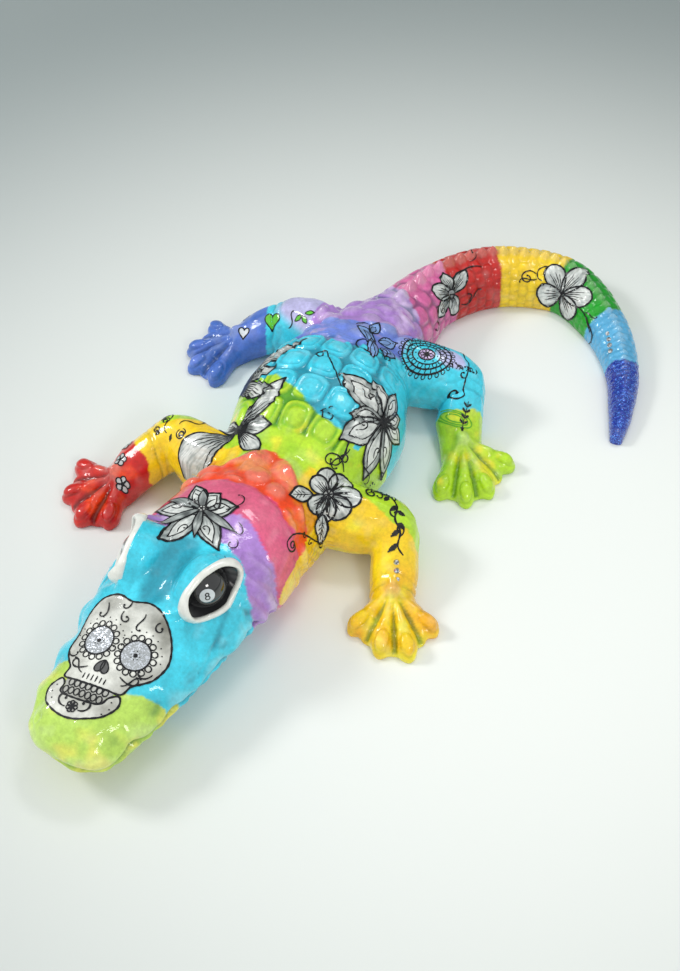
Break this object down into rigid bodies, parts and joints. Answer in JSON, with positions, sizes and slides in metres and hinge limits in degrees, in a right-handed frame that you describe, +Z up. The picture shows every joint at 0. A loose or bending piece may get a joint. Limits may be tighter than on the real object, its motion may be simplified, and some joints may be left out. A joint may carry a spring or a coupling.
{
  "type": "alebrije crocodile figure",
  "caption": "Free-standing painted crocodile figure with a curled tail, built from pegged blocks with set-in eyes and glued stones; lies flat on its belly.",
  "frame": {"origin": "on the ground under the middle of the belly, at the belly's flat resting face", "axes": "+Z up; the head looks along -Y; the tail leaves along +Y and curls round to +X, the animal's own left"},
  "size_m": [0.334, 0.5348, 0.0789],
  "materials": {
    "painted_wood": "bright glossy paint under clear varnish",
    "peg_wood": "bare, glued",
    "white_paint": "white gloss paint",
    "eye": "polished",
    "stone": "faceted, foil-backed"
  },
  "bodies": {
    "root": {"head": "painted_wood", "lower_jaw": "painted_wood", "neck": "painted_wood", "torso": "painted_wood", "front_leg_left": "painted_wood", "front_foot_left": "painted_wood", "front_leg_right": "painted_wood", "front_foot_right": "painted_wood", "hind_leg_left": "painted_wood", "hind_foot_left": "painted_wood", "hind_leg_right": "painted_wood", "hind_foot_right": "painted_wood", "tail_pink": "painted_wood", "tail_red": "painted_wood", "tail_yellow": "painted_wood", "tail_green": "painted_wood", "tail_sky": "painted_wood", "tail_tip": "painted_wood", "eye_ball_left": "eye", "eyelid_left": "white_paint", "eye_ball_right": "eye", "eyelid_right": "white_paint", "wrist_stone_1": "stone", "wrist_stone_2": "stone", "wrist_stone_3": "stone", "wrist_stone_4": "stone", "tail_stone_1": "stone", "tail_stone_2": "stone", "tail_stone_3": "stone", "tail_stone_4": "stone", "peg_shoulder": "peg_wood", "peg_neck": "peg_wood", "peg_jaw_1": "peg_wood", "peg_jaw_2": "peg_wood", "peg_front_left_root": "peg_wood", "peg_front_left_ankle": "peg_wood", "peg_front_right_root": "peg_wood", "peg_front_right_ankle": "peg_wood", "peg_hind_left_root": "peg_wood", "peg_hind_left_ankle": "peg_wood", "peg_hind_right_root": "peg_wood", "peg_hind_right_ankle": "peg_wood", "peg_tail_pink": "peg_wood", "peg_tail_red": "peg_wood", "peg_tail_yellow": "peg_wood", "peg_tail_green": "peg_wood", "peg_tail_sky": "peg_wood", "peg_tail_tip": "peg_wood"}
  },
  "joints": []
}
